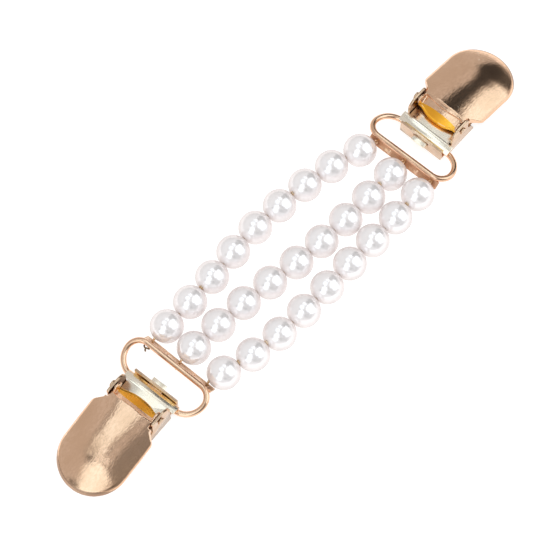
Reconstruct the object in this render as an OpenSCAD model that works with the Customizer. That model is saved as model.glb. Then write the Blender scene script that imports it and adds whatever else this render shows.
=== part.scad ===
// Pearl sweater clip: two lever clips, each hooked on a wire ring,
// with three strands of nine drilled pearls strung between the rings.
// The length runs along X, the thing lies on the plane Z = 0 and clip A is at the -X end.

/* [Pearls] */
// Diameter of one pearl across its hole
pearl_d = 8.2; // [7:0.1:9]
// Diameter of the flat round the hole at each end of a pearl
pearl_flat_d = 1.8; // [1.7:0.1:2.4]
// Clear space left between neighbouring pearls, measured along X
pearl_gap = 0.1; // [0.1:0.01:0.3]
// Diameter of the hole drilled through a pearl
pearl_bore_d = 1.2; // [1:0.1:1.6]
// Diameter of the gilt wire that the pearls are strung on
thread_d = 0.5; // [0.3:0.05:0.6]
// Diameter of the small stop knots between the pearls
thread_knot_d = 0.7; // [0.65:0.05:0.85]
// Diameter of the crimp that anchors a wire behind its strip
crimp_d = 1.5; // [1.3:0.1:1.8]

/* [Lie] */
// Distance between neighbouring strands at a ring
strand_spacing = 8.4; // [8.2:0.1:8.8]
// Sideways distance of each ring's middle from the centre line
ring_offset = 3.7; // [3:0.1:4.4]
// Turn of each clip in its ring, in degrees, with the tips towards -Y
clip_turn = 1; // [0:0.25:1.5]
// Slide of clip A along its ring towards -Y
clip_slide = 0.1; // [0:0.05:0.3]

/* [Ring] */
// Diameter of the ring wire
ring_wire_d = 1.5; // [1.3:0.1:1.7]
// Length of the ring along its straight sides, between wire centres
ring_len = 23.4; // [22.8:0.1:24.4]
// Width of the ring between the centres of its two straight sides
ring_w = 8.4; // [8:0.1:9]
// Corner radius on the pearl side, at the wire centre
ring_corner_r = 3.4; // [3:0.1:3.8]
// Height of the hinge side of the ring above the surface
axle_z = 1.85; // [1.8:0.05:1.95]

/* [Hanger strip] */
// Thickness of the strip soldered along the ring
strip_t = 0.5; // [0.4:0.05:0.6]
// Length of the strip
strip_len = 20.8; // [20:0.2:22]
// Distance from the wire centre to the strip's free edge
strip_reach = 2.4; // [2.3:0.05:2.5]
// Distance from the wire centre to the row of holes
strip_hole_out = 1.55; // [1.5:0.05:1.6]
// Diameter of the holes in the strip
strip_hole_d = 1; // [0.9:0.05:1.1]
// Angle of the strip below the horizontal
strip_tilt = 45; // [40:1:50]
// Sideways shift of the row of holes from the ring's middle
strip_shift = 0.5; // [0:0.1:0.8]
// Length of wire between a strip hole and the first pearl's edge
thread_run = 1.3; // [1.25:0.05:1.6]

/* [Back plate] */
// Thickness of the back plate and lever sheet
sheet_t = 0.6; // [0.5:0.05:0.7]
// Width across the outer faces of the ears
ears_w = 14; // [13.8:0.1:14.4]
// Height of the ears
ear_h = 8.5; // [8.4:0.1:8.8]
// Distance from the ring's axle to the front edge of the ears
ear_front = 1.75; // [1.75:0.05:2]
// Distance from the ring's axle to the back edge of the ears
ear_back = 7.9; // [7.7:0.05:8]
// Radius of the ears' front corner
ear_front_r = 2.4; // [2:0.1:2.6]
// Radius of the ears' back corner
ear_back_r = 0.8; // [0.4:0.1:1.2]
// Length of the ears' sloping foot behind the back edge
ear_foot_len = 2.6; // [2:0.1:3]
// Height at which the sloping foot starts
ear_foot_h = 4.4; // [4:0.1:4.8]
// Width of the upturned flange at the ring end
flange_w = 12.8; // [12:0.1:12.9]
// Height of the flange
flange_h = 4.2; // [4:0.05:4.4]
// Play between the ring's hinge side and the flange
wire_play = 0.35; // [0.3:0.05:0.4]
// Distance from the ring's axle to the gripping end
grip_end = 24.5; // [23:0.5:25]
// Width of the gripping end
grip_w = 12; // [11:0.2:12.4]
// Height of the upturned lip at the gripping end
grip_lip_h = 0.5; // [0.4:0.05:0.6]

/* [Jaw plate] */
// Thickness of the jaw plate
jaw_t = 0.5; // [0.4:0.05:0.55]
// Height of the jaw plate's top face at the ring end
jaw_top = 3.9; // [3.85:0.05:4]
// Height of the jaw plate's top edge at the gripping end
jaw_grip_top = 2.3; // [2.2:0.05:2.4]
// Length of the bevel over the ring, from the axle
jaw_bevel = 0.5; // [0.4:0.05:0.6]
// Width of the jaw plate's wings beyond the ears
wings_w = 15.2; // [14.6:0.1:15.6]
// Width of the tongue through the flange
tongue_w = 3.9; // [3.4:0.1:4.4]
// Reach of the tongue from the ring's axle towards the ring's opening
tongue_reach = 3; // [2.6:0.1:3.2]
// Space round the tongue in its slot
slot_play = 0.3; // [0.25:0.05:0.35]
// Space left between the jaw plate and the flange and ears
jaw_play = 0.25; // [0.2:0.05:0.3]
// Space left between the closed gripping lips
mouth_gap = 0.4; // [0.3:0.05:0.5]

/* [Lever cover] */
// Width of the cover
cover_w = 18.6; // [17.8:0.1:19]
// Distance from the ring's axle to the cover's tip
cover_reach = 29.6; // [29:0.1:31]
// Height of the cover's crown above its rim
crown_h = 2.75; // [2.6:0.05:3]
// Radius of the crown across the cover
crown_r = 22; // [20:1:30]
// Radius of the cover's rolled edge
cover_edge_r = 1.8; // [1.6:0.1:2.2]
// Slope of the cover down towards its tip, in degrees
cover_slope = 14; // [13:0.25:14.5]
// Height of the tip's rim above the surface
cover_tip_z = 0.3; // [0.2:0.1:0.8]
// Distance that the cover's neck stays inside the ears' outer faces
neck_inset = 0.1; // [0:0.05:0.3]
// Clearance between the ears' back edges and the cover's neck
neck_play = 0.2; // [0.15:0.05:0.3]
// Length of the neck before the flare
neck_len = 0.5; // [0.45:0.05:0.8]
// Length of the flare from the neck to the full width
flare_len = 2.3; // [2:0.1:3]
// Radius of the cover's shoulders
shoulder_r = 2.5; // [2:0.1:3]
// Distance from the hinge pins to the front of the lip
lip_out = 1.5; // [1.4:0.05:1.6]
// Height of the lip's lower edge above the hinge pins
lip_up = 0.7; // [0.6:0.05:0.8]
// Depth of the lip's rounded front
lip_depth = 1.3; // [1.2:0.05:1.4]

/* [Hinge] */
// Distance from the ring's axle to the hinge pins
pivot_x = 5.3; // [5.2:0.05:5.4]
// Height of the hinge pins above the surface
pivot_z = 6.9; // [6.85:0.05:7]
// Diameter of a hinge pin
pin_d = 1.2; // [1:0.1:1.4]
// Running clearance round a pin, on the radius
pin_play = 0.06; // [0.04:0.01:0.1]
// Diameter of a pin's round head
pin_head_d = 1.9; // [1.7:0.1:2.1]
// Thickness of a pin's head
pin_head_t = 0.55; // [0.4:0.05:0.7]
// Gap between a pin's head and the ear
pin_head_gap = 0.1; // [0.05:0.05:0.2]
// Play between the ears and the lever's cheeks
cheek_play = 0.25; // [0.2:0.05:0.3]
// Radius of the lever's cheeks round the pins
cheek_r = 1.5; // [1.3:0.1:1.6]
// Radius of the lever's cam under the pins
cam_r = 2.7; // [2.5:0.05:2.75]

/* [Hidden] */
$fn = 64;
strands = 3;
pearls = 9;
eps = 0.01;

// Sideways bow of each strand from a straight line, at five even stations along it
strand_bow = [
    [0.8, 2.4, 4.1, 3.9, 3],
    [0.4, 0, -1.2, -1.4, -1.1],
    [-2.7, -3, -2.4, -1.5, -1.1],
];

pearl_r = pearl_d / 2;
pearl_len = sqrt(pow(pearl_d, 2) - pow(pearl_flat_d, 2));
half_chain = pearls * (pearl_len + pearl_gap) / 2;

// The first pearl's edge is joined to the strip's hole by a straight run square to the strip
bar_z = pearl_r + strip_hole_out * sin(strip_tilt) - thread_run * cos(strip_tilt);
ring_x = half_chain + strip_hole_out * cos(strip_tilt) + thread_run * sin(strip_tilt);
ring_slope = asin((bar_z - axle_z) / ring_w);
axle_x = ring_x + ring_w * cos(ring_slope);
ring_far_r = ring_w - ring_corner_r;

ear_out = ears_w / 2;
ear_in = ear_out - sheet_t;
flange_in = -ring_wire_d / 2 - wire_play;
flange_out = flange_in - sheet_t;
tongue_z = axle_z + ring_wire_d / 2;
tongue_root = 0.1;
bevel_end = flange_in + jaw_play;
jaw_w = 2 * (ear_in - jaw_play);

// The throat stands a little inside the cheeks, and the lip's back a little behind its front
throat_step = 0.05;
hook_t = 0.15;
cheek_out = ear_in - cheek_play;
cheek_in = cheek_out - sheet_t;
throat_out = cheek_out - throat_step;
neck_out = ear_out - neck_inset;
cover_r = cover_w / 2;
hub_x = cover_reach - cover_r * cos(cover_slope);
hub_z = cover_tip_z + cover_r * sin(cover_slope);
edge_y = cover_r - cover_edge_r;
edge_z = crown_h - crown_r + sqrt(pow(crown_r - cover_edge_r, 2) - pow(edge_y, 2));
seam_y = edge_y * crown_r / (crown_r - cover_edge_r);
lip_x = pivot_x + lip_out;
lip_z = pivot_z + lip_up;
cover_end = (lip_x + lip_depth - hub_x) / cos(cover_slope) - crown_h * tan(cover_slope);
neck_x = (ear_back + neck_play - hub_x) / cos(cover_slope);
cam_from = 235;
cam_to = 285;

// Sideways place of the strip holes: end is -1 at ring A and 1 at ring B
function hole_y(i, end) =
    -end * ring_offset - strip_shift - (i - (strands - 1) / 2) * strand_spacing;

// Catmull-Rom curve through a strand's bows, with no bow at either end
function bow_at(b, k) = k < 1 || k > len(b) ? 0 : b[k - 1];
function smooth(p, q, r, s, f) =
    q + f * (r - p + f * (2 * p - 5 * q + 4 * r - s + f * (3 * (q - r) + s - p))) / 2;
function bow(b, t) =
    let (u = min(max(t, 0), 1) * (len(b) + 1), k = min(floor(u), len(b)))
    smooth(bow_at(b, k - 1), bow_at(b, k), bow_at(b, k + 1), bow_at(b, k + 2), u - k);

function route_y(i, x) =
    let (t = x / (2 * half_chain) + 0.5)
    hole_y(i, -1) * (1 - t) + hole_y(i, 1) * t + bow(strand_bow[i], t);

function sum(v, k = 0) = k == len(v) ? 0 : v[k] + sum(v, k + 1);
route_steps = 54;
function route_len(i) =
    let (dx = 2 * half_chain / route_steps)
    sum([for (k = [0:route_steps - 1])
        let (x = -half_chain + k * dx)
        norm([dx, route_y(i, x + dx) - route_y(i, x)])]);

// The x of the point one pitch further along a strand, found in a few rounds
function next_x(i, x, pitch, guess, rounds = 8) =
    rounds == 0 ? x + guess
    : next_x(i, x, pitch, sqrt(pow(pitch, 2) - pow(route_y(i, x + guess) - route_y(i, x), 2)), rounds - 1);
function gap_xs(i, x, pitch, left) =
    left == 0 ? [x] : concat([x], gap_xs(i, next_x(i, x, pitch, pitch), pitch, left - 1));
function gap_points(i) =
    [for (x = gap_xs(i, -half_chain, route_len(i) / pearls, pearls)) [x, route_y(i, x), pearl_r]];
gaps = [for (i = [0:strands - 1]) gap_points(i)];

// A strip hole's centre, and the place of the crimp behind it
function hole_point(i, end) =
    [end * (ring_x - strip_hole_out * cos(strip_tilt)), hole_y(i, end),
     bar_z - strip_hole_out * sin(strip_tilt)];
function crimp_point(i, end) =
    let (back = strip_t / 2 + crimp_d / 2 + 0.05)
    hole_point(i, end) + back * [end * sin(strip_tilt), 0, -cos(strip_tilt)];
function thread_points(i) =
    concat([crimp_point(i, -1)], gaps[i], [crimp_point(i, 1)]);

// A round wire from knot p to knot q, with its ends a little short of the knots' centres
module wire(p, q) {
    v = q - p;
    short = thread_d / 5;
    translate(p)
        rotate([0, acos(v.z / norm(v)), atan2(v.y, v.x)])
            translate([0, 0, short]) cylinder(d = thread_d, h = norm(v) - 2 * short);
}

module pearl(i, k) {
    a = gaps[i][k];
    b = gaps[i][k + 1];
    color("ivory")
        translate((a + b) / 2)
            rotate([0, 90, atan2(b.y - a.y, b.x - a.x)])
                difference() {
                    intersection() {
                        sphere(d = pearl_d);
                        cylinder(d = 2 * pearl_d, h = pearl_len, center = true);
                    }
                    cylinder(d = pearl_bore_d, h = 2 * pearl_d, center = true);
                }
}

module thread(i) {
    points = thread_points(i);
    last = len(points) - 1;
    color("goldenrod") {
        for (k = [0:last - 1]) wire(points[k], points[k + 1]);
        for (k = [1:last - 1]) translate(points[k]) rotate([0, 0, 90]) sphere(d = thread_knot_d);
        for (k = [0, last]) translate(points[k]) rotate([0, 0, 90]) sphere(d = crimp_d);
    }
}

// Places a part drawn from the axle, with +X towards the tip, at end A or end B
module at_end(side, slide = 0, turn = 0) {
    end = side == "a" ? -1 : 1;
    translate([end * axle_x, -end * ring_offset - slide, 0])
        rotate([0, 0, (side == "a" ? 180 : 0) - end * turn])
            children();
}

module at_clip(side) {
    at_end(side, side == "a" ? clip_slide : 0, clip_turn) children();
}

// A quarter bend of round wire, centred on the origin, from +X to +Y
module wire_bend(r) {
    rotate_extrude(angle = 90) translate([r, 0]) circle(d = ring_wire_d);
}

// Half of the ring in its own plane: the pearl-side bar lies at X = 0
module half_ring() {
    near_y = ring_len / 2 - ring_corner_r;
    far_y = ring_len / 2 - ring_far_r;
    rotate([-90, 0, 0]) cylinder(d = ring_wire_d, h = near_y);
    translate([ring_w, 0, 0]) rotate([-90, 0, 0]) cylinder(d = ring_wire_d, h = far_y);
    translate([ring_corner_r, near_y, 0]) rotate([0, 0, 90]) wire_bend(ring_corner_r);
    translate([ring_corner_r, far_y, 0]) wire_bend(ring_far_r);
}

module hanger_strip() {
    rotate([0, -strip_tilt, 0])
        difference() {
            translate([-strip_reach, -strip_len / 2, -strip_t / 2])
                cube([strip_reach - ring_wire_d / 4, strip_len, strip_t]);
            for (k = [-2:2])
                translate([-strip_hole_out, k * strand_spacing / 2, 0])
                    cylinder(d = strip_hole_d, h = 4 * strip_t, center = true);
        }
}

module ring(side) {
    shift = side == "a" ? strip_shift : -strip_shift;
    color("peru")
        at_end(side)
            translate([ring_x - axle_x, 0, bar_z]) {
                rotate([0, ring_slope, 0]) {
                    half_ring();
                    mirror([0, 1, 0]) half_ring();
                }
                translate([0, shift, 0]) hanger_strip();
            }
}

// Turns a flat X-Z outline into a solid of the given width, centred on Y
module side_cut(width) {
    rotate([90, 0, 0]) linear_extrude(width, center = true) children();
}

// A pair of sheets with the given outer distance from the middle
module sheet_pair(out) {
    for (y = [out - sheet_t / 2, sheet_t / 2 - out])
        translate([0, y, 0]) side_cut(sheet_t) children();
}

module ear_outline() {
    front_x = ear_front + ear_front_r;
    back_x = ear_back - ear_back_r;
    translate([ear_front, 0]) square([ear_front_r, ear_h - ear_front_r]);
    translate([front_x, ear_h - ear_front_r]) circle(ear_front_r);
    translate([front_x, 0]) square([back_x - front_x, ear_h]);
    translate([back_x, ear_h - ear_back_r]) circle(ear_back_r);
    translate([back_x, 0]) square([ear_back_r, ear_h - ear_back_r]);
    polygon([[ear_back - eps, 0], [ear_back + ear_foot_len, 0], [ear_back + ear_foot_len, sheet_t],
             [ear_back - eps, ear_foot_h]]);
}

// A level plate of sheet on the surface
module floor_plate(from, to, width, height = sheet_t) {
    translate([from, -width / 2, 0]) cube([to - from, width, height]);
}

module back_plate(side) {
    foot_end = ear_back + ear_foot_len;
    slot_h = jaw_t + 2 * slot_play;
    color("peru")
        at_clip(side)
            difference() {
                union() {
                    floor_plate(flange_out, flange_in, flange_w, flange_h);
                    floor_plate(flange_out, ear_front + 1, flange_w);
                    floor_plate(ear_front, foot_end, ears_w);
                    floor_plate(ear_back, grip_end, grip_w);
                    floor_plate(grip_end - sheet_t, grip_end, grip_w, sheet_t + grip_lip_h);
                    sheet_pair(ear_out) ear_outline();
                }
                translate([flange_out - 1, -tongue_w / 2 - slot_play, tongue_z - slot_play])
                    cube([sheet_t + 2, tongue_w + 2 * slot_play, slot_h]);
                translate([pivot_x, 0, pivot_z])
                    rotate([90, 0, 0])
                        cylinder(d = pin_d + 2 * pin_play, h = 2 * ears_w, center = true);
            }
}

// The jaw sheet seen from the side: bevel over the ring, flat, slope and gripping lip
module jaw_outline() {
    lip_foot = sheet_t + grip_lip_h + mouth_gap;
    top = [[bevel_end, tongue_z + jaw_t], [jaw_bevel, jaw_top], [ear_back, jaw_top],
           [grip_end, jaw_grip_top]];
    lip = [[grip_end, lip_foot], [grip_end - jaw_t, lip_foot], [grip_end - jaw_t, jaw_grip_top - jaw_t]];
    polygon(concat(top, lip, [for (k = [2:-1:0]) top[k] - [0, jaw_t]]));
}

module jaw_plate(side) {
    color("antiquewhite")
        at_clip(side) {
            side_cut(jaw_w) jaw_outline();
            side_cut(wings_w)
                intersection() {
                    jaw_outline();
                    translate([bevel_end, 0]) square([ear_front - jaw_play - bevel_end, jaw_top]);
                }
            translate([-tongue_reach, -tongue_w / 2, tongue_z])
                cube([tongue_reach + bevel_end + tongue_root, tongue_w, jaw_t]);
        }
}

// Right half of the cover's cross section: crown, then the rolled edge, drawn in by inset,
// with its foot lowered below the rim by drop
module half_section(inset, drop) {
    intersection() {
        translate([0, crown_h - crown_r]) circle(crown_r - inset);
        translate([0, -drop]) square([seam_y, crown_h + drop]);
    }
    intersection() {
        translate([edge_y, edge_z]) circle(cover_edge_r - inset);
        translate([seam_y, -drop]) square([cover_r, crown_h + drop]);
    }
}

module full_section(inset = 0, drop = 0) {
    half_section(inset, drop);
    mirror([1, 0]) half_section(inset, drop);
}

// Plan of the cover: throat, neck, flare, round shoulder and full width, drawn in by inset
module cover_plan(inset) {
    flare = atan((cover_r - neck_out) / flare_len);
    turn_r = shoulder_r - inset;
    turn = [neck_x + neck_len + flare_len + shoulder_r * tan(flare / 2), cover_r - shoulder_r];
    flare_end = turn + turn_r * [-sin(flare), cos(flare)];
    flare_x = flare_end.x - (flare_end.y - neck_out + inset) / tan(flare);
    half = [[2 * cover_end, throat_out - inset], [neck_x + inset, throat_out - inset],
            [neck_x + inset, neck_out - inset], [flare_x, neck_out - inset], flare_end, turn,
            [turn.x, cover_r - inset], [cover_w, cover_r - inset]];
    polygon(concat(half, [for (k = [len(half) - 1:-1:0]) [half[k].x, -half[k].y]]));
    for (y = [-turn.y, turn.y]) translate([turn.x, y]) circle(turn_r);
}

// The cover's dome as a full body: a straight run and the round tip
module dome(inset, start) {
    intersection() {
        union() {
            translate([start, 0, 0]) rotate([90, 0, 90]) linear_extrude(-start) full_section(inset);
            rotate([0, 0, -90]) rotate_extrude(angle = 180) half_section(inset, 0);
        }
        linear_extrude(2 * crown_h) cover_plan(inset);
    }
}

module in_cover_frame() {
    translate([hub_x, 0, hub_z]) rotate([0, cover_slope, 0]) children();
}

// The lip, the cam wall below it and the cam's return under the pins, seen from the side
module cam_outline() {
    wall_top = [lip_x, lip_z] + 0.25 * [1, -1];
    wall_foot = [pivot_x, pivot_z] + cam_r * [cos(cam_from), sin(cam_from)];
    run = (wall_foot - wall_top) / norm(wall_foot - wall_top);
    inward = sheet_t * [-run.y, run.x];
    polygon([[lip_x + lip_depth + hook_t, lip_z + crown_h], [lip_x + lip_depth, lip_z + crown_h],
             [lip_x + lip_depth / 2, lip_z + 0.6], [lip_x, lip_z], wall_top, wall_foot,
             wall_foot + inward - 0.9 * run, wall_top + inward, [lip_x + lip_depth, lip_z - 0.1],
             [lip_x + lip_depth + hook_t, lip_z + 0.1]]);
    translate([pivot_x, pivot_z])
        intersection() {
            difference() {
                circle(cam_r);
                circle(cam_r - sheet_t);
            }
            polygon([[0, 0], 2 * cam_r * [cos(cam_from), sin(cam_from)], [0, -3 * cam_r],
                     2 * cam_r * [cos(cam_to), sin(cam_to)]]);
        }
}

module cheek_outline() {
    root_x = lip_x + lip_depth + hook_t / 3;
    translate([pivot_x, pivot_z]) circle(cheek_r);
    polygon([[pivot_x, pivot_z - cheek_r], [root_x, pivot_z - cheek_r], [root_x, lip_z - 0.3],
             [pivot_x, pivot_z + 0.6 * cheek_r]]);
}

module cover(side) {
    color("rosybrown")
        at_clip(side)
            difference() {
                union() {
                    in_cover_frame()
                        difference() {
                            dome(0, cover_end);
                            translate([0, 0, -eps]) dome(sheet_t, cover_end - 1);
                        }
                    intersection() {
                        side_cut(2 * cheek_out) cam_outline();
                        in_cover_frame()
                            translate([-2 * cover_w, 0, 0])
                                rotate([90, 0, 90])
                                    linear_extrude(2 * cover_w) full_section(0, 3 * crown_h);
                    }
                    sheet_pair(cheek_out) cheek_outline();
                }
                translate([pivot_x, 0, pivot_z])
                    rotate([90, 0, 0]) cylinder(d = pin_d, h = 2 * ears_w, center = true);
            }
}

module hinge_pins(side) {
    head_y = ear_out + pin_head_gap;
    color("peru")
        at_clip(side)
            translate([pivot_x, 0, pivot_z])
                for (turn = [90, -90])
                    rotate([turn, 0, 0]) {
                        translate([0, 0, cheek_in]) cylinder(d = pin_d, h = head_y - cheek_in);
                        translate([0, 0, head_y]) cylinder(d = pin_head_d, h = pin_head_t);
                    }
}

for (i = [1:strands], k = [1:pearls])
    pearl(i - 1, k - 1);
for (i = [1:strands])
    thread(i - 1);
for (side = ["a", "b"]) {
    ring(side);
    back_plate(side);
    jaw_plate(side);
    cover(side);
    hinge_pins(side);
}
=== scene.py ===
"""Pearl sweater clip: pearls strung between two wire rings, each ring held by a lever clip."""

import logging
import math
from collections.abc import Callable
from dataclasses import dataclass
from enum import Enum

import bpy
from mathutils import Matrix, Vector

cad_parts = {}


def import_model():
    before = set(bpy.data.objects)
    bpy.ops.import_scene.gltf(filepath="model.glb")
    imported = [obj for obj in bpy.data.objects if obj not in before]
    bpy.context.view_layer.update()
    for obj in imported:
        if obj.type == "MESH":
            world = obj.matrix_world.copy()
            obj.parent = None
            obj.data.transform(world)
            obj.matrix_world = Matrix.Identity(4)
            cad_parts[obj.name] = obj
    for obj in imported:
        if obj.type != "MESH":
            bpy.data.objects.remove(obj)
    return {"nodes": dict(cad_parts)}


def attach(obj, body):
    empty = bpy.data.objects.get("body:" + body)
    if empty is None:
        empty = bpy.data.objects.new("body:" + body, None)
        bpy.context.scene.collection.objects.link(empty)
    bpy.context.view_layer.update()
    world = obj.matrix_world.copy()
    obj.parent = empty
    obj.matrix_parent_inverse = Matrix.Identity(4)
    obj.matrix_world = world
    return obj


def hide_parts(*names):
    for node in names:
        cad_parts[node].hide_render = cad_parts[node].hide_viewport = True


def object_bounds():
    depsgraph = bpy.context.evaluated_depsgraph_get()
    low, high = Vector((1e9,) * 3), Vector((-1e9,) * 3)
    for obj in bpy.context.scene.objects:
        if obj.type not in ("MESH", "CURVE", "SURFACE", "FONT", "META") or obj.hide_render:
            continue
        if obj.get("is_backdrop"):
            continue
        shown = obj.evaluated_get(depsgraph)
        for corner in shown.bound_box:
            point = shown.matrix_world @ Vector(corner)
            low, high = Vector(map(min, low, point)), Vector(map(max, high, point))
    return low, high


LOG = logging.getLogger("sweater_clip")
MM = 0.001
MERGE_REACH = 0.0005 * MM
FLAT_ANGLE = math.radians(0.4)
JOINED_SHARP = 50
CLIP_SLIDE = 0.1 * MM
CLIP_TURN = math.radians(1)
Pair = tuple[float, float]
Triple = tuple[float, float, float]
Colour = Triple
Nodes = dict[str, bpy.types.Object]


class Side(Enum):
    """The two ends of the clip."""

    A = "a"
    B = "b"


class Slot(Enum):
    """The record's material slots."""

    WIRE = "gilt_wire"
    ROSE = "rose_gold"
    SATIN = "satin_rose_gold"
    PALE = "pale_plate"


class Body(Enum):
    """The moving bodies, named without their side."""

    STRANDS = "strands_and_rings"
    CLIP = "clip"
    JAW = "jaw"
    LEVER = "lever"

    def at(self, side: Side) -> str:
        """Gives the body's name at one end."""
        return self.value if self is Body.STRANDS else f"{self.value}_{side.value}"


@dataclass(frozen=True)
class EndPlace:
    """The frame of one end: it starts at the ring's axle, with +X towards the clip's tip."""

    side: Side
    slide: float = 0.0
    turn: float = 0.0
    axle_x: float = 46.5071 * MM
    offset: float = 3.7 * MM

    def matrix(self) -> Matrix:
        """Gives the matrix from this frame to the part's frame.

        Returns:
            The matrix, with lengths in metres.
        """
        end = -1 if self.side is Side.A else 1
        slide = self.slide if self.side is Side.A else 0
        place = Matrix.Translation((end * self.axle_x, -end * self.offset - slide, 0))
        start = math.pi if self.side is Side.A else 0
        return place @ Matrix.Rotation(start - end * self.turn, 4, "Z")

    def inverse(self) -> Matrix:
        """Gives the matrix from the part's frame to this frame."""
        return self.matrix().inverted()

    def spot(self, x: float, y: float, z: float) -> Vector:
        """Gives a point of this frame, in millimetres, as a point of the part's frame, in metres."""
        return self.matrix() @ (MM * Vector((x, y, z)))


class Bench:
    """Bench work that every piece needs: picking, joining and finishing meshes."""

    @staticmethod
    def clear() -> None:
        """Leaves edit mode and deselects everything."""
        if bpy.context.object is not None and bpy.context.object.mode != "OBJECT":
            bpy.ops.object.mode_set(mode="OBJECT")
        bpy.ops.object.select_all(action="DESELECT")

    @staticmethod
    def take(piece: bpy.types.Object) -> bpy.types.Object:
        """Makes one object the only one selected.

        Args:
            piece: The object to work on.

        Returns:
            The same object.
        """
        Bench.clear()
        piece.select_set(True)
        bpy.context.view_layer.objects.active = piece
        return piece

    @staticmethod
    def copy_of(node: bpy.types.Object, name: str) -> bpy.types.Object:
        """Copies a solid and merges the copy's loose triangles into one closed mesh.

        Args:
            node: The solid to copy.
            name: The name of the new piece.

        Returns:
            The new piece.
        """
        piece = bpy.data.objects.new(name, node.data.copy())
        piece.data.name = name
        bpy.context.scene.collection.objects.link(piece)
        Bench.take(piece)
        if "custom_normal" in piece.data.attributes:
            piece.data.attributes.remove(piece.data.attributes["custom_normal"])
        bpy.ops.object.mode_set(mode="EDIT")
        bpy.ops.mesh.select_all(action="SELECT")
        bpy.ops.mesh.remove_doubles(threshold=MERGE_REACH)
        bpy.ops.object.mode_set(mode="OBJECT")
        return piece

    @staticmethod
    def apply(piece: bpy.types.Object) -> None:
        """Applies every modifier on a piece.

        Args:
            piece: The piece to finish.
        """
        Bench.take(piece)
        for name in [modifier.name for modifier in piece.modifiers]:
            bpy.ops.object.modifier_apply(modifier=name)

    @staticmethod
    def flatten(piece: bpy.types.Object) -> None:
        """Joins the triangles of flat faces.

        Args:
            piece: The piece whose flat faces are joined.
        """
        Bench.take(piece)
        bpy.ops.object.mode_set(mode="EDIT")
        bpy.ops.mesh.select_all(action="SELECT")
        bpy.ops.mesh.dissolve_limited(angle_limit=FLAT_ANGLE)
        bpy.ops.object.mode_set(mode="OBJECT")

    @staticmethod
    def bevel(piece: bpy.types.Object, width: float, angle: float = 32, segments: int = 2) -> None:
        """Rounds the sharp edges of a piece.

        Args:
            piece: The piece to round.
            width: The bevel's width in metres.
            angle: The least angle between faces, in degrees, that is rounded.
            segments: How many steps the round has.
        """
        rounded = piece.modifiers.new("round", "BEVEL")
        rounded.width = width
        rounded.segments = segments
        rounded.limit_method = "ANGLE"
        rounded.angle_limit = math.radians(angle)
        rounded.miter_outer = "MITER_ARC"
        Bench.apply(piece)

    @staticmethod
    def smooth(piece: bpy.types.Object, angle: float = 40) -> None:
        """Shades a piece smooth except across edges of at least so many degrees."""
        Bench.take(piece)
        bpy.ops.object.shade_smooth_by_angle(angle=math.radians(angle))

    @staticmethod
    def paint(piece: bpy.types.Object, *finishes: bpy.types.Material) -> None:
        """Gives a piece its finishes.

        Args:
            piece: The piece to dress.
            finishes: The materials, the main one first.
        """
        piece.data.materials.clear()
        for finish in finishes:
            piece.data.materials.append(finish)

    @staticmethod
    def assign(
        piece: bpy.types.Object,
        finish: bpy.types.Material,
        place: EndPlace,
        chosen: Callable[[Vector, Vector], bool],
    ) -> int:
        """Gives one of a piece's finishes to the faces that a test picks.

        Args:
            piece: The piece to dress.
            finish: The finish, which the piece already has.
            place: The frame that the test works in.
            chosen: A test of a face's centre, in millimetres, and of its normal.

        Returns:
            How many faces were picked.
        """
        back = place.inverse()
        turn = back.to_3x3()
        Bench.take(piece)
        bpy.ops.object.mode_set(mode="EDIT")
        bpy.ops.mesh.select_mode(type="FACE")
        bpy.ops.mesh.select_all(action="DESELECT")
        bpy.ops.object.mode_set(mode="OBJECT")
        count = 0
        for face in piece.data.polygons:
            face.select = chosen((back @ face.center) / MM, turn @ face.normal)
            count += face.select
        bpy.ops.object.mode_set(mode="EDIT")
        piece.active_material_index = piece.data.materials.find(finish.name)
        bpy.ops.object.material_slot_assign()
        bpy.ops.object.mode_set(mode="OBJECT")
        return count

    @staticmethod
    def push(
        piece: bpy.types.Object, place: EndPlace, by: Triple, reach: float, chosen: Callable[[Vector], bool]
    ) -> None:
        """Pushes a place of a piece out softly, as a press does.

        Args:
            piece: The piece to shape.
            place: The frame that the push and the test work in.
            by: How far the place goes, in millimetres.
            reach: How far the push fades out, in millimetres.
            chosen: A test of a point in millimetres.
        """
        back = place.inverse()
        Bench.take(piece)
        bpy.ops.object.mode_set(mode="EDIT")
        bpy.ops.mesh.select_mode(type="VERT")
        bpy.ops.mesh.select_all(action="DESELECT")
        bpy.ops.object.mode_set(mode="OBJECT")
        for point in piece.data.vertices:
            point.select = chosen((back @ point.co) / MM)
        bpy.ops.object.mode_set(mode="EDIT")
        bpy.ops.transform.translate(
            value=place.matrix().to_3x3() @ (MM * Vector(by)),
            use_proportional_edit=True,
            use_proportional_connected=True,
            proportional_edit_falloff="SMOOTH",
            proportional_size=reach * MM,
        )
        bpy.ops.object.mode_set(mode="OBJECT")

    @staticmethod
    def loop(centre: Vector, axis: Vector, radius: float, thickness: float) -> bpy.types.Object:
        """Bends a closed loop of round wire.

        Args:
            centre: The loop's centre in metres.
            axis: The direction that the loop faces.
            radius: The loop's radius to the wire's middle, in millimetres.
            thickness: The wire's diameter in millimetres.

        Returns:
            The loop.
        """
        Bench.clear()
        bpy.ops.mesh.primitive_torus_add(
            location=centre,
            rotation=axis.to_track_quat("Z", "Y").to_euler(),
            major_segments=28,
            minor_segments=12,
            major_radius=radius * MM,
            minor_radius=thickness * MM / 2,
        )
        return bpy.context.object

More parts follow.
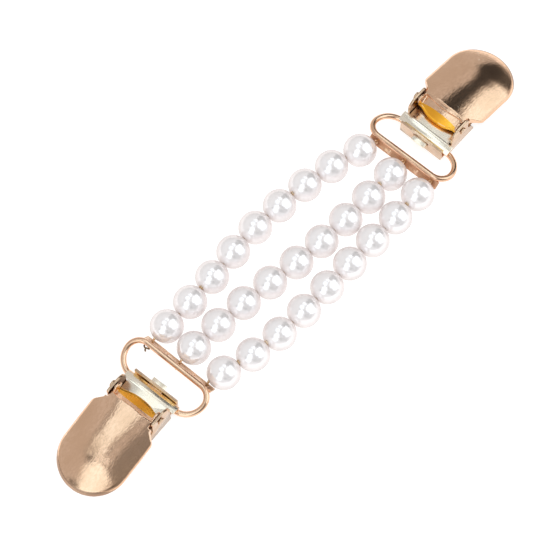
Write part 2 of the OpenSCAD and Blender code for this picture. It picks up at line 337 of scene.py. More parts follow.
    @staticmethod
    def strand(points: list[Vector], thickness: float) -> bpy.types.Object:
        """Bends a short open wire through a few points.

        Args:
            points: The wire's points in metres.
            thickness: The wire's diameter in millimetres.

        Returns:
            The wire.
        """
        Bench.clear()
        bpy.ops.curve.primitive_bezier_curve_add(location=(0, 0, 0))
        wire = bpy.context.object
        curve = wire.data
        curve.bevel_depth = thickness * MM / 2
        curve.use_fill_caps = True
        knots = curve.splines[0].bezier_points
        knots.add(len(points) - len(knots))
        for knot, point in zip(knots, points):
            knot.co = point
            knot.handle_left_type = "AUTO"
            knot.handle_right_type = "AUTO"
        bpy.ops.object.convert(target="MESH")
        return bpy.context.object

    @staticmethod
    def join(pieces: list[bpy.types.Object], name: str) -> bpy.types.Object:
        """Joins pieces into one object that stands at the origin.

        Args:
            pieces: The pieces to join.
            name: The name of the joined object.

        Returns:
            The joined object.
        """
        Bench.take(pieces[0])
        for piece in pieces:
            piece.select_set(True)
        bpy.ops.object.join()
        bpy.ops.object.transform_apply(location=True, rotation=True, scale=True)
        joined = bpy.context.object
        joined.name = name
        joined.data.name = name
        Bench.smooth(joined, JOINED_SHARP)
        return joined


class Wiring:
    """Small helper that adds and links nodes in one node tree."""

    @staticmethod
    def material(name: str) -> tuple[bpy.types.Material, "Wiring", bpy.types.Node]:
        """Starts a material.

        Args:
            name: The material's name.

        Returns:
            The material, its wiring and its surface node.
        """
        finish = bpy.data.materials.new(name)
        finish.use_nodes = True
        return finish, Wiring(finish.node_tree), finish.node_tree.nodes["Principled BSDF"]

    def __init__(self, tree: bpy.types.NodeTree) -> None:
        """Starts on a node tree."""
        self.tree = tree

    def add(self, kind: str, values: dict | None = None, **options: object) -> bpy.types.Node:
        """Adds a node.

        Args:
            kind: The node's type.
            values: Sockets or constants by socket name or number.
            options: The node's own settings.

        Returns:
            The new node.
        """
        node = self.tree.nodes.new(kind)
        for key, value in options.items():
            setattr(node, key, value)
        self.feed(node, values or {})
        return node

    def feed(self, node: bpy.types.Node, values: dict) -> None:
        """Links sockets and sets constants on a node's inputs.

        Args:
            node: The node to feed.
            values: Sockets or constants by socket name or number.
        """
        for key, value in values.items():
            if isinstance(value, bpy.types.NodeSocket):
                self.tree.links.new(value, node.inputs[key])
            else:
                node.inputs[key].default_value = value

    def group(self, tree: bpy.types.NodeTree, values: dict) -> bpy.types.NodeOutputs:
        """Adds a node group with its inputs fed and gives its outputs."""
        return self.add("ShaderNodeGroup", values, node_tree=tree).outputs

    def math(self, operation: str, *values: object) -> bpy.types.NodeSocket:
        """Adds a math node on numbers or sockets, in order, and gives its result."""
        return self.add("ShaderNodeMath", dict(enumerate(values)), operation=operation).outputs[0]

    def span(
        self, value: bpy.types.NodeSocket, source: Pair, target: Pair = (0.0, 1.0)
    ) -> bpy.types.NodeSocket:
        """Adds a smooth map from one range to another and gives its result."""
        values = {"Value": value, 1: source[0], 2: source[1], 3: target[0], 4: target[1]}
        return self.add("ShaderNodeMapRange", values, interpolation_type="SMOOTHSTEP").outputs[0]

    def blend(self, factor: object, low: object, high: object) -> bpy.types.NodeSocket:
        """Mixes two colours.

        Args:
            factor: How much of the second colour shows.
            low: The colour or socket at factor 0.
            high: The colour or socket at factor 1.

        Returns:
            The mixed colour's socket.
        """
        tones = [(*tone, 1) if isinstance(tone, tuple) else tone for tone in (low, high)]
        values = {0: factor, 6: tones[0], 7: tones[1]}
        return self.add("ShaderNodeMix", values, data_type="RGBA").outputs[2]


class Effects:
    """Effects that several finishes share, each built once as a node group."""

    SPECKLE_DETAIL = 3.0
    SPECKLE_SPAN = (0.3, 0.7)
    CLOUDS_DETAIL = 4.0
    CLOUDS_SPAN = (0.35, 0.65)
    UNEVENNESS = 0.03
    EDGE_SPAN = (0.60, 0.66)
    HOLLOW_SPAN = (0.49, 0.44)

    @staticmethod
    def group(
        name: str, inputs: dict[str, object], outputs: tuple[str, ...]
    ) -> tuple[bpy.types.NodeTree, Wiring | None]:
        """Starts a node group or finds it again.

        Args:
            name: The group's name.
            inputs: Names of the inputs with their start values.
            outputs: Names of the outputs.

        Returns:
            The group, and its wiring, or None where it is built already.
        """
        if name in bpy.data.node_groups:
            return bpy.data.node_groups[name], None
        tree = bpy.data.node_groups.new(name, "ShaderNodeTree")
        for key, value in inputs.items():
            kind = "NodeSocketVector" if isinstance(value, tuple) else "NodeSocketFloat"
            socket = tree.interface.new_socket(key, in_out="INPUT", socket_type=kind)
            socket.default_value = value
        for key in outputs:
            tree.interface.new_socket(key, in_out="OUTPUT", socket_type="NodeSocketFloat")
        return tree, Wiring(tree)

    @staticmethod
    def grain() -> bpy.types.NodeTree:
        """Fine satin grain with soft clouds in it.

        Returns:
            The group, with Grain and Clouds as outputs.
        """
        inputs = {"Vector": (0.0, 0.0, 0.0), "Scale": 2400.0, "Clouds scale": 160.0}
        tree, wires = Effects.group("satin grain", inputs, ("Grain", "Clouds"))
        if wires is None:
            return tree
        source = wires.add("NodeGroupInput").outputs
        where = source["Vector"]
        speckle = {"Vector": where, "Scale": source["Scale"], "Detail": Effects.SPECKLE_DETAIL}
        clouds = {"Vector": where, "Scale": source["Clouds scale"], "Detail": Effects.CLOUDS_DETAIL}
        sharp = wires.span(wires.add("ShaderNodeTexNoise", speckle).outputs[0], Effects.SPECKLE_SPAN)
        soft = wires.span(wires.add("ShaderNodeTexNoise", clouds).outputs[0], Effects.CLOUDS_SPAN)
        wires.add("NodeGroupOutput", {"Grain": sharp, "Clouds": soft})
        return tree

    @staticmethod
    def edge_tone_and_hollow_shade() -> bpy.types.NodeTree:
        """Lighter colour along sharp edges, and painted shade that darkens hollows.

        Returns:
            The group, with Edge and Hollow as outputs.
        """
        inputs = {"Vector": (0.0, 0.0, 0.0), "Break up": 900.0}
        tree, wires = Effects.group("edge tone and hollow shade", inputs, ("Edge", "Hollow"))
        if wires is None:
            return tree
        source = wires.add("NodeGroupInput").outputs
        shape = wires.add("ShaderNodeNewGeometry").outputs["Pointiness"]
        noise = wires.add("ShaderNodeTexNoise", {"Vector": source["Vector"], "Scale": source["Break up"]})
        uneven = wires.math("MULTIPLY_ADD", noise.outputs[0], Effects.UNEVENNESS, shape)
        edge = wires.span(uneven, Effects.EDGE_SPAN)
        hollow = wires.span(uneven, Effects.HOLLOW_SPAN)
        wires.add("NodeGroupOutput", {"Edge": edge, "Hollow": hollow})
        return tree

    @staticmethod
    def soft_box() -> bpy.types.NodeTree:
        """A round soft light or shade in the studio, as a mask over directions.

        Returns:
            The group, with Mask as output.
        """
        inputs = {"Ray": (0.0, 0.0, 1.0), "Toward": (0.0, 0.0, 1.0), "Outer": 0.8, "Inner": 0.9}
        tree, wires = Effects.group("soft box", inputs, ("Mask",))
        if wires is None:
            return tree
        source = wires.add("NodeGroupInput").outputs
        ray = wires.add("ShaderNodeVectorMath", {0: source["Ray"]}, operation="NORMALIZE").outputs[0]
        match = wires.add("ShaderNodeVectorMath", {0: ray, 1: source["Toward"]}, operation="DOT_PRODUCT")
        values = {"Value": match.outputs["Value"], 1: source["Outer"], 2: source["Inner"]}
        mask = wires.add("ShaderNodeMapRange", values, interpolation_type="SMOOTHSTEP")
        wires.add("NodeGroupOutput", {"Mask": mask.outputs[0]})
        return tree


@dataclass(frozen=True)
class MetalFinish:
    """Plated metal with satin grain, clouds, soft dents and, on dense meshes, lighter edges and painted
    shade in hollows.
    """

    name: str
    colour: Colour
    shade: Colour
    smoothness: Pair = (0.16, 0.24)
    grain_scale: float = 2400.0
    stretch: Triple = (1.0, 1.0, 1.0)
    clouds_scale: float = 160.0
    grain_lift: float = 0.08
    dent: float = 0.0
    dent_scale: float = 150.0
    dent_detail: float = 1.0
    grain_tone: float = 0.25
    grain_rough: float = 0.05
    grain_depth: float = 0.05 * MM
    edge: Colour | None = None
    # How dark the painted shade in hollows is, and how much of it shows.
    hollow_shade: Colour = (0.5, 0.42, 0.36)
    hollow_shade_share: float = 0.5

    def build(self) -> bpy.types.Material:
        """Builds the material.

        Returns:
            The material.
        """
        finish, wires, skin = Wiring.material(self.name)
        where = wires.add("ShaderNodeTexCoord").outputs["Object"]
        drawn = wires.add("ShaderNodeMapping", {"Vector": where, "Scale": self.stretch}).outputs[0]
        values = {"Vector": drawn, "Scale": self.grain_scale, "Clouds scale": self.clouds_scale}
        grain = wires.group(Effects.grain(), values)
        cloudy = wires.blend(grain["Clouds"], self.colour, self.shade)
        toned = wires.blend(wires.math("MULTIPLY", grain["Grain"], self.grain_tone), cloudy, self.shade)
        if self.edge is not None:
            edge_tone_and_hollow_shade = wires.group(Effects.edge_tone_and_hollow_shade(), {"Vector": where})
            toned = wires.blend(edge_tone_and_hollow_shade["Edge"], toned, self.edge)
            # Hollows are darkened here as painted shade.
            shaded_hollow_colour = tuple(tone * part for tone, part in zip(self.shade, self.hollow_shade))
            toned = wires.blend(wires.math("MULTIPLY", edge_tone_and_hollow_shade["Hollow"], self.hollow_shade_share), toned, shaded_hollow_colour)
        rough = wires.span(grain["Clouds"], (0.0, 1.0), self.smoothness)
        rough = wires.math("MULTIPLY_ADD", grain["Grain"], self.grain_rough, rough)
        values = {"Height": grain["Grain"], "Strength": self.grain_lift, "Distance": self.grain_depth}
        lift = wires.add("ShaderNodeBump", values)
        if self.dent:
            values = {"Vector": where, "Scale": self.dent_scale, "Detail": self.dent_detail}
            dents = wires.add("ShaderNodeTexNoise", values)
            values = {"Height": dents.outputs[0], "Strength": 1.0, "Distance": self.dent * MM}
            values["Normal"] = lift.outputs[0]
            lift = wires.add("ShaderNodeBump", values)
        values = {"Base Color": toned, "Roughness": rough, "Normal": lift.outputs[0], "Metallic": 1.0}
        wires.feed(skin, values)
        return finish


@dataclass(frozen=True)
class PearlFinish:
    """Lustrous white pearl with a lilac heart, slow clouds, a warm rim painted darker as shade at its edge,
    and a painted glow.
    """

    name: str = "pearl lustre"
    heart: Colour = (0.85, 0.825, 0.835)
    # The rim colour is painted shade at the pearl's edge, laid over the pearl's own warm tint.
    rim: Colour = (0.68, 0.62, 0.605)
    blush: Colour = (0.84, 0.785, 0.77)
    # Painted glow: the pearls emit a little warm light that lifts the shade between touching pearls.
    painted_glow: Colour = (1.0, 0.94, 0.915)
    painted_glow_level: float = 0.14
    lustre: float = 0.46
    smoothness: Pair = (0.11, 0.16)
    grain_scale: float = 1500.0
    clouds_scale: float = 220.0
    facing_blend: float = 0.5
    rim_span: Pair = (0.14, 0.62)
    blush_share: float = 0.4
    clouds_lift: float = 0.04
    clouds_depth: float = 0.03 * MM

    def build(self) -> bpy.types.Material:
        """Builds the material.

        Returns:
            The material.
        """
        finish, wires, skin = Wiring.material(self.name)
        where = wires.add("ShaderNodeTexCoord").outputs["Object"]
        values = {"Vector": where, "Scale": self.grain_scale, "Clouds scale": self.clouds_scale}
        clouds = wires.group(Effects.grain(), values)["Clouds"]
        facing = wires.add("ShaderNodeLayerWeight", {"Blend": self.facing_blend}).outputs["Facing"]
        # Towards the edge the body turns to the rim colour: painted shade over a warm tint.
        body = wires.blend(wires.span(facing, self.rim_span), self.heart, self.rim)
        tinted = wires.blend(wires.math("MULTIPLY", clouds, self.blush_share), body, self.blush)
        rough = wires.span(clouds, (0.0, 1.0), self.smoothness)
        values = {"Height": clouds, "Strength": self.clouds_lift, "Distance": self.clouds_depth}
        lift = wires.add("ShaderNodeBump", values).outputs[0]
        values = {
            "Base Color": tinted,
            "Roughness": rough,
            "Normal": lift,
            "Metallic": self.lustre,
            "Specular Tint": (*self.rim, 1),
            "Emission Color": (*self.painted_glow, 1),
            "Emission Strength": self.painted_glow_level,
        }
        wires.feed(skin, values)
        return finish


class Finishes:
    """All finishes of the clip, built once."""

    def __init__(self) -> None:
        """Builds every material."""
        self.pearl = PearlFinish().build()
        self.ring = MetalFinish(
            "polished rose gold", (0.92, 0.62, 0.43), (0.82, 0.51, 0.34), (0.10, 0.16), grain_lift=0.03
        ).build()
        # The strip's darker rose-brown is painted shade under the ring's bar.
        self.strip = MetalFinish(
            "strip rose gold in painted shade", (0.70, 0.41, 0.25), (0.58, 0.32, 0.19), (0.22, 0.32), grain_lift=0.12
        ).build()
        self.cover = MetalFinish(
            "satin rose gold",
            (0.91, 0.60, 0.41),
            (0.80, 0.505, 0.325),
            (0.11, 0.16),
            grain_scale=2200.0,
            stretch=(0.45, 1.0, 1.0),
            grain_lift=0.16,
            grain_tone=0.7,
            dent=0.16,
            edge=(1.0, 0.82, 0.64),
        ).build()
        # Painted reflection: the deep gold that the cam wall's crescent shows in its recess.
        self.wall = MetalFinish(
            "cam wall crescent painted gold reflection", (1.0, 0.54, 0.08), (1.0, 0.45, 0.04), (0.20, 0.28)
        ).build()
        self.rim = MetalFinish(
            "shaded rim", (0.52, 0.34, 0.23), (0.40, 0.25, 0.17), (0.22, 0.30)
        ).build()
        self.plate = MetalFinish(
            "gilt plate", (0.74, 0.52, 0.36), (0.60, 0.40, 0.26), (0.14, 0.22), dent=0.05
        ).build()
        # Painted shade for the inner faces of the ears.
        self.inside = MetalFinish(
            "inner face in painted shade", (0.34, 0.17, 0.08), (0.18, 0.08, 0.04), (0.26, 0.36)
        ).build()
        # Painted light: the flange's inner faces, brighter and yellower than the same plate elsewhere.
        self.flange = MetalFinish(
            "inner flange in painted light", (1.0, 0.78, 0.42), (0.94, 0.64, 0.28), (0.20, 0.30)
        ).build()
        self.jaw = MetalFinish(
            "pale gilt", (1.0, 0.90, 0.76), (1.0, 0.85, 0.68), (0.18, 0.25), grain_lift=0.04
        ).build()
        self.wire = MetalFinish(
            "gilt wire", (0.95, 0.76, 0.55), (0.70, 0.48, 0.26), (0.30, 0.40), grain_lift=0.1
        ).build()
        self.tail = MetalFinish(
            "dark wire end", (0.30, 0.19, 0.10), (0.16, 0.09, 0.05), (0.3, 0.4)
        ).build()


@dataclass
class Strands:
    """The pearls, the gilt wires that they are strung on and the wire loops seen between some pearls.

    Sizes are in millimetres.
    """

    finishes: Finishes
    strands: int = 3
    pearls: int = 9
    shown: tuple[tuple[int, int], ...] = ((1, 2), (1, 6), (2, 8), (3, 1), (3, 2), (3, 8))
    loop_rise: float = 1.15
    loop_r: float = 0.42
    loop_wire: float = 0.3

    def build(self, nodes: Nodes) -> None:
        """Dresses the pearls and wires and adds the loops.

        Args:
            nodes: The solids by name.
        """
        for strand in range(1, self.strands + 1):
            for place in range(1, self.pearls + 1):
                Bench.paint(nodes[f"pearl_{strand}_{place}"], self.finishes.pearl)
            Bench.paint(nodes[f"thread_{strand}"], self.finishes.wire)
        loops = [self.loop(nodes, strand, place) for strand, place in self.shown]
        made = Bench.join(loops, "gap_loops")
        Bench.paint(made, self.finishes.wire)
        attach(made, Body.STRANDS.value)
        LOG.info("dressed %d strands of %d pearls", self.strands, self.pearls)

    def loop(self, nodes: Nodes, strand: int, place: int) -> bpy.types.Object:
        """Bends the loop of wire that shows between a pearl and the next one.

        Args:
            nodes: The solids by name.
            strand: The strand's number.
            place: The first pearl's number.

        Returns:
            The loop.
        """
        first = self.centre(nodes[f"pearl_{strand}_{place}"])
        second = self.centre(nodes[f"pearl_{strand}_{place + 1}"])
        middle = (first + second) / 2 + Vector((0, 0, self.loop_rise * MM))
        return Bench.loop(middle, second - first, self.loop_r, self.loop_wire)

    @staticmethod
    def centre(pearl: bpy.types.Object) -> Vector:
        """Gives the middle of a pearl's solid in the part's frame."""
        corners = [pearl.matrix_world @ Vector(corner) for corner in pearl.bound_box]
        return sum(corners, Vector()) / len(corners)


@dataclass
class Ring:
    """One wire ring with its soldered strip, the eyelets in the spare holes and loose wire ends.

    Sizes without a unit are in millimetres.
    """

    place: EndPlace
    finishes: Finishes
    edge: float = 0.07 * MM
    bar_x: float = -8.0419
    bar_z: float = 4.2768
    tilt: float = math.radians(45)
    wire_r: float = 0.75
    strip_t: float = 0.5
    hole_out: float = 1.55
    hole_shift: float = 0.5
    spare_y: tuple[float, ...] = (-4.2, 4.2)
    eyelet_r: float = 0.5
    eyelet_wire: float = 0.3
    knot_r: float = 0.5 / 3
    knot_wire: float = 0.5
    tails: tuple[tuple[Triple, ...], ...] = (
        ((0.75, -8.8, -0.6), (1.15, -8.3, -0.5), (0.95, -7.7, -0.5), (0.8, -7.1, -0.4)),
        ((0.9, -8.0, -0.6), (1.5, -7.85, -0.5), (1.8, -7.5, -0.4)),
    )
    tail_wire: float = 0.4

    def along(self, spot: Vector) -> float:
        """Gives how far a point lies from the bar's middle towards the strip's free edge."""
        return -(spot.x - self.bar_x) * math.cos(self.tilt) - (spot.z - self.bar_z) * math.sin(self.tilt)

    def build(self, nodes: Nodes) -> None:
        """Builds and dresses the ring.

        Args:
            nodes: The solids by name.
        """
        side = self.place.side
        name = f"ring_{side.value}"
        ring = Bench.copy_of(nodes[name], f"worn_{name}")
        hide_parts(name)
        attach(ring, Body.STRANDS.value)
        Bench.flatten(ring)
        Bench.bevel(ring, self.edge)
        Bench.smooth(ring)
        # Ring B's strip takes the darker strip finish: painted shade under the bar.
        strip = self.finishes.strip if side is Side.B else self.finishes.plate
        Bench.paint(ring, self.finishes.ring, strip)
        count = Bench.assign(ring, strip, self.place, lambda spot, facing: self.along(spot) > self.wire_r)
        LOG.info("strip of ring %s has %d faces", side.value, count)
        self.trim([self.eyelet(y) for y in self.spare_y], "eyelets", self.finishes.ring)
        if side is Side.A:
            self.trim([self.tail(points) for points in self.tails], "wire_ends", self.finishes.tail)

    def trim(self, pieces: list[bpy.types.Object], name: str, finish: bpy.types.Material) -> None:
        """Joins small pieces, dresses them and lets them ride with the ring.

        Args:
            pieces: The pieces.
            name: Their name without the side.
            finish: Their material.
        """
        made = Bench.join(pieces, f"{name}_{self.place.side.value}")
        Bench.paint(made, finish)
        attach(made, Body.STRANDS.value)

    def eyelet(self, y: float) -> bpy.types.Object:
        """Makes the eyelet in a spare hole.

        Args:
            y: The hole's place along the strip, in millimetres.

        Returns:
            The eyelet.
        """
        shift = self.hole_shift if self.place.side is Side.A else -self.hole_shift
        face = Vector((-math.sin(self.tilt), 0, math.cos(self.tilt)))
        run = Vector((-math.cos(self.tilt), 0, -math.sin(self.tilt)))
        spot = Vector((self.bar_x, shift + y, self.bar_z)) + self.hole_out * run
        spot += (self.strip_t / 2) * face
        axis = self.place.matrix().to_3x3() @ face
        rim = Bench.loop(self.place.spot(*spot), axis, self.eyelet_r, self.eyelet_wire)
        knot = Bench.loop(self.place.spot(*spot), axis, self.knot_r, self.knot_wire)
        return Bench.join([rim, knot], "eyelet")

    def tail(self, points: tuple[Triple, ...]) -> bpy.types.Object:
        """Bends a loose wire end through points that count from the bar's middle."""
        path = [self.place.spot(self.bar_x + x, y, self.bar_z + z) for x, y, z in points]
        return Bench.strand(path, self.tail_wire)


# Where the painted gold reflection starts down each cam wall.
GOLD_FROM = {Side.A: 0.22, Side.B: 0.42}


@dataclass
class Clip:
    """One lever clip: back plate, jaw plate, cover and pins.

    Sizes without a unit are in millimetres. Places on the cam wall count from 0 at its lip to 1 at its foot.
    """

    place: EndPlace
    finishes: Finishes
    edge: float = 0.07 * MM
    pin_edge: float = 0.14 * MM
    voxel: float = 0.13 * MM
    ease_steps: int = 5
    ease_share: float = 0.5
    cover_sharp: float = 60
    square_on: float = 0.9
    ear_y: float = 6.2
    sheet_t: float = 0.6
    flange_x: float = -1.0
    wall_top: Pair = (7.05, 7.35)
    wall_run: Pair = (-0.778, -0.628)
    wall_len: float = 4.24
    wall_half: float = 6.1
    wall_near: float = 0.8
    wall_bow: float = 0.5
    bow_half: float = 0.3
    bow_from: float = 0.25
    bow_reach: float = 5.5
    foot_from: float = 0.85
    foot_y: float = 5.5
    foot_lift: float = 0.7
    lift_reach: float = 3.4
    swell: float = 0.3
    swell_at: Pair = (17.0, -1.0)
    swell_half: Pair = (0.8, 0.6)
    swell_z: float = 4.0
    swell_reach: float = 9.0
    gold_bow: float = 0.2
    gold_facing: float = -0.2
    gold_near: float = 1.2
    gold_to: float = 1.2
    rim_z: float = 2.2
    rim_lean: float = 0.78
    rim_clear: float = 1.5

    def down_wall(self, spot: Vector) -> float:
        """Gives how far down the cam wall a point lies, from 0 at the lip to 1 at the foot."""
        across = (spot.x - self.wall_top[0]) * self.wall_run[0]
        return (across + (spot.z - self.wall_top[1]) * self.wall_run[1]) / self.wall_len

    def off_wall(self, spot: Vector) -> float:
        """Gives how far a point lies from the plane of the cam wall."""
        across = (spot.x - self.wall_top[0]) * self.wall_run[1]
        return abs(across - (spot.z - self.wall_top[1]) * self.wall_run[0])

    def piece(self, nodes: Nodes, node: str, body: Body, slot: Slot) -> bpy.types.Object:
        """Makes a merged copy of a solid that stands for it.

        Args:
            nodes: The solids by name.
            node: The solid's name without its side.
            body: The body that it rides on.
            slot: Not used.

        Returns:
            The new piece, already riding on its body.
        """
        side = self.place.side
        name = f"{node}_{side.value}"
        made = Bench.copy_of(nodes[name], f"worn_{name}")
        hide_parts(name)
        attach(made, body.at(side))
        return made

    def build(self, nodes: Nodes) -> None:
        """Builds and dresses the clip.

        Args:
            nodes: The solids by name.
        """
        self.back_plate(nodes)
        self.jaw_plate(nodes)
        self.pins(nodes)
        self.cover(nodes)
        LOG.info("built clip %s", self.place.side.value)

    def sheet(
        self, nodes: Nodes, node: str, body: Body, slot: Slot, width: float, *finishes: bpy.types.Material
    ) -> bpy.types.Object:
        """Makes a piece with flat faces and softened edges.

        Args:
            nodes: The solids by name.
            node: The solid's name without its side.
            body: The body that it rides on.
            slot: The material slot, handed on to piece.
            width: The width of its edges' round, in metres.
            finishes: Its materials.

        Returns:
            The piece.
        """
        made = self.piece(nodes, node, body, slot)
        Bench.flatten(made)
        Bench.bevel(made, width)
        Bench.smooth(made)
        Bench.paint(made, *finishes)
        return made

    def back_plate(self, nodes: Nodes) -> None:
        """Builds the back plate, with painted shade inside its ears and painted light inside its flange.

        Args:
            nodes: The solids by name.
        """
        finishes = (self.finishes.plate, self.finishes.inside, self.finishes.flange)
        plate = self.sheet(nodes, "back_plate", Body.CLIP, Slot.ROSE, self.edge, *finishes)

        def in_ears(spot: Vector, facing: Vector) -> bool:
            """Says whether a face is on the inside of an ear."""
            return abs(spot.y) > self.ear_y and spot.y * facing.y < 0 and abs(facing.y) > self.square_on

        def in_flange(spot: Vector, facing: Vector) -> bool:
            """Says whether a face is on the inside of the flange."""
            return spot.x < self.flange_x and facing.x > self.square_on and spot.z > self.sheet_t

        # The ears' inner faces take the painted shade.
        Bench.assign(plate, self.finishes.inside, self.place, in_ears)
        # The flange's inner faces take the painted light.
        Bench.assign(plate, self.finishes.flange, self.place, in_flange)

    def jaw_plate(self, nodes: Nodes) -> None:
        """Builds the pale jaw plate."""
        self.sheet(nodes, "jaw_plate", Body.JAW, Slot.PALE, self.edge, self.finishes.jaw)

    def pins(self, nodes: Nodes) -> None:
        """Builds the hinge pins with round heads."""
        self.sheet(nodes, "hinge_pins", Body.LEVER, Slot.ROSE, self.pin_edge, self.finishes.plate)

    def cover(self, nodes: Nodes) -> None:
        """Builds the lever's pressed cover with its soft edges and bowed cam wall.

        Args:
            nodes: The solids by name.
        """
        cover = self.piece(nodes, "cover", Body.LEVER, Slot.SATIN)
        press = cover.modifiers.new("press", "REMESH")
        press.mode = "VOXEL"
        press.voxel_size = self.voxel
        ease = cover.modifiers.new("ease", "SMOOTH")
        ease.factor = self.ease_share
        ease.iterations = self.ease_steps
        Bench.apply(cover)

        def wall_middle(spot: Vector) -> bool:
            """Says whether a point lies on the middle line of the cam wall."""
            on_wall = self.off_wall(spot) < self.wall_near and abs(spot.y) < self.bow_half
            return on_wall and self.bow_from < self.down_wall(spot) < self.foot_from

        def foot_end(spot: Vector) -> bool:
            """Says whether a point lies at an end of the cam wall's foot."""
            on_wall = self.off_wall(spot) < self.wall_near and abs(spot.y) > self.foot_y
            return on_wall and self.down_wall(spot) > self.foot_from

        def crown_top(spot: Vector) -> bool:
            """Says whether a point lies at the fullest place of the crown."""
            away = (abs(spot.x - self.swell_at[0]), abs(spot.y - self.swell_at[1]))
            return away[0] < self.swell_half[0] and away[1] < self.swell_half[1] and spot.z > self.swell_z

        lift = [-self.foot_lift * part for part in self.wall_run]
        Bench.push(cover, self.place, (-self.wall_bow, 0, 0), self.bow_reach, wall_middle)
        Bench.push(cover, self.place, (lift[0], 0, lift[1]), self.lift_reach, foot_end)
        Bench.push(cover, self.place, (0, 0, self.swell), self.swell_reach, crown_top)
        Bench.smooth(cover, self.cover_sharp)
        Bench.paint(cover, self.finishes.cover, self.finishes.wall, self.finishes.rim)

        def on_crescent(spot: Vector, facing: Vector) -> bool:
            """Says whether a face belongs to the crescent low on the cam wall that takes the painted gold
            reflection.

            Args:
                spot: The face's centre.
                facing: The face's normal.

            Returns:
                Whether it does.
            """
            start = GOLD_FROM[self.place.side] + self.gold_bow * (spot.y / self.wall_half) ** 2
            on_wall = facing.x < self.gold_facing and self.off_wall(spot) < self.gold_near
            return on_wall and start < self.down_wall(spot) < self.gold_to

        def on_rim(spot: Vector, facing: Vector) -> bool:
            """Says whether a face belongs to the upright rim round the cover."""
            upright = spot.z < self.rim_z and abs(facing.z) < self.rim_lean
            return upright and self.off_wall(spot) > self.rim_clear

        Bench.assign(cover, self.finishes.rim, self.place, on_rim)
        # The crescent low on the cam wall takes the painted gold reflection.
        count = Bench.assign(cover, self.finishes.wall, self.place, on_crescent)
        LOG.info("gold crescent of cover %s has %d faces", self.place.side.value, count)


@dataclass(frozen=True)
class SoftBox:
    """A round light, or a dark gap between lights, far away in one direction, with its edge in degrees."""

    toward: Triple
    outer: float
    inner: float
    level: float


SOFT_BOXES = (
    SoftBox((0.40, -0.60, 0.70), 32, 28, 1.5),
    SoftBox((0.74, -0.26, 0.62), 14, 10, 1.4),
    SoftBox((0.60, -0.76, 0.24), 16, 10, 1.3),
    SoftBox((-0.88, -0.10, 0.46), 21, 17, 1.5),
    SoftBox((0.34, 0.24, 0.91), 14, 9, 1.5),
    SoftBox((-0.10, 0.22, 0.97), 23, 20, 0.28),
    SoftBox((-0.10, 0.22, 0.97), 18.5, 15.5, 1.25),
    SoftBox((-0.60, -0.08, 0.80), 19, 15, 1.4),
    SoftBox((-0.42, 0.24, 0.875), 7, 3.5, 0.20),
    SoftBox((-0.86, 0.22, 0.46), 8, 5, 0.20),
    SoftBox((-0.27, -0.42, 0.87), 13, 8, 0.28),
    SoftBox((-0.50, -0.68, 0.53), 16, 11, 0.12),
    SoftBox((-0.22, -0.72, 0.66), 17, 11, 0.28),
    SoftBox((-0.20, -0.93, 0.30), 20, 13, 0.28),
    SoftBox((0.72, 0.10, 0.69), 15, 8, 0.05),
    SoftBox((0.93, 0.05, 0.36), 20, 13, 0.05),
    SoftBox((0.94, -0.18, 0.29), 12, 8, 0.07),
)


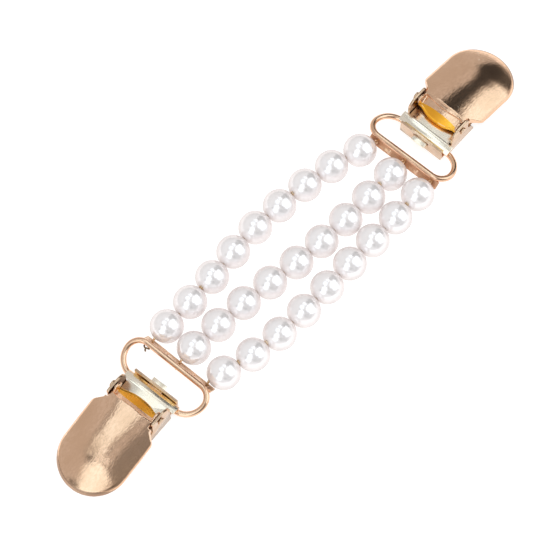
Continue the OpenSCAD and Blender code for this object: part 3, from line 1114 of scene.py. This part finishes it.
@dataclass
class Studio:
    """Floor, soft light all round and the camera."""

    target: Vector = Vector((-4.61 * MM, 1.18 * MM, 0))
    distance: float = 556 * MM
    azimuth: float = math.radians(310)
    elevation: float = math.radians(67.5)
    field: float = math.radians(13.57)
    near: float = 0.02
    floor_size: float = 3.0
    floor_drop: float = 0.02 * MM
    floor_tone: float = 0.5
    floor_glow: float = 0.74
    level: float = 0.62
    fill: float = 0.25
    backdrop: float = 1.0
    plain: Colour = (1.0, 1.0, 1.0)
    cool: Colour = (0.92, 1.06, 1.13)
    cool_span: Pair = (0.9, 1.25)

    def build(self) -> None:
        """Builds the studio."""
        self.camera()
        self.floor()
        self.world()

    def camera(self) -> None:
        """Places the camera at the photographed angle."""
        level = math.cos(self.elevation)
        side = (math.sin(self.azimuth) * level, -math.cos(self.azimuth) * level)
        back = Vector((*side, math.sin(self.elevation)))
        Bench.clear()
        bpy.ops.object.camera_add(location=self.target + self.distance * back)
        camera = bpy.context.object
        camera.rotation_mode = "QUATERNION"
        camera.rotation_quaternion = (-back).to_track_quat("-Z", "Y")
        camera.data.angle = self.field
        camera.data.clip_start = self.near
        bpy.context.scene.camera = camera

    def floor(self) -> None:
        """Lays the plain pale floor."""
        Bench.clear()
        bpy.ops.mesh.primitive_plane_add(size=self.floor_size, location=(0, 0, -self.floor_drop))
        floor = bpy.context.object
        floor.name = "studio_floor"
        floor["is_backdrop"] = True
        paper, wires, skin = Wiring.material("white paper")
        values = {
            "Base Color": (self.floor_tone, self.floor_tone, self.floor_tone, 1),
            "Roughness": 1.0,
            "Specular IOR Level": 0.0,
            "Emission Color": (1, 1, 1, 1),
            "Emission Strength": self.floor_glow,
        }
        wires.feed(skin, values)
        Bench.paint(floor, paper)

    def world(self) -> None:
        """Lights the studio with soft boxes, and dark gaps between them."""
        scene = bpy.context.scene
        scene.view_settings.view_transform = "Standard"
        world = bpy.data.worlds.new("studio")
        scene.world = world
        world.use_nodes = True
        wires = Wiring(world.node_tree)
        ray = wires.add("ShaderNodeTexCoord").outputs["Generated"]
        level: object = self.level
        for box in SOFT_BOXES:
            values = {
                "Ray": ray,
                "Toward": Vector(box.toward).normalized(),
                "Outer": math.cos(math.radians(box.outer)),
                "Inner": math.cos(math.radians(box.inner)),
            }
            mask = wires.group(Effects.soft_box(), values)["Mask"]
            level = wires.add("ShaderNodeMix", {0: mask, 2: level, 3: box.level}).outputs[0]
        path = wires.add("ShaderNodeLightPath").outputs
        filled = wires.math("MULTIPLY_ADD", path["Is Diffuse Ray"], self.fill, 1.0)
        lit = wires.math("MULTIPLY", filled, level)
        seen = wires.add("ShaderNodeMix", {0: path["Is Camera Ray"], 2: lit, 3: self.backdrop}).outputs[0]
        bright = wires.span(level, self.cool_span)
        mirrored = wires.math("SUBTRACT", bright, path["Is Diffuse Ray"])
        tint = wires.blend(mirrored, self.plain, self.cool)
        wires.feed(world.node_tree.nodes["Background"], {"Color": tint, "Strength": seen})


def corners(box: tuple[Vector, Vector]) -> list[list[float]]:
    """Gives a box's lowest and highest corner as lists of numbers."""
    return [list(corner) for corner in box]


def main() -> None:
    logging.basicConfig(level=logging.INFO, format="%(name)s: %(message)s")
    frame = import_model()
    cad = corners(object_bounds())
    nodes = frame["nodes"]
    finishes = Finishes()
    Strands(finishes).build(nodes)
    for side in Side:
        Ring(EndPlace(side), finishes).build(nodes)
        Clip(EndPlace(side, CLIP_SLIDE, CLIP_TURN), finishes).build(nodes)
    Studio().build()
    Bench.clear()
    {"cad": cad, "visual": corners(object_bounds())}


if __name__ == "__main__":
    main()
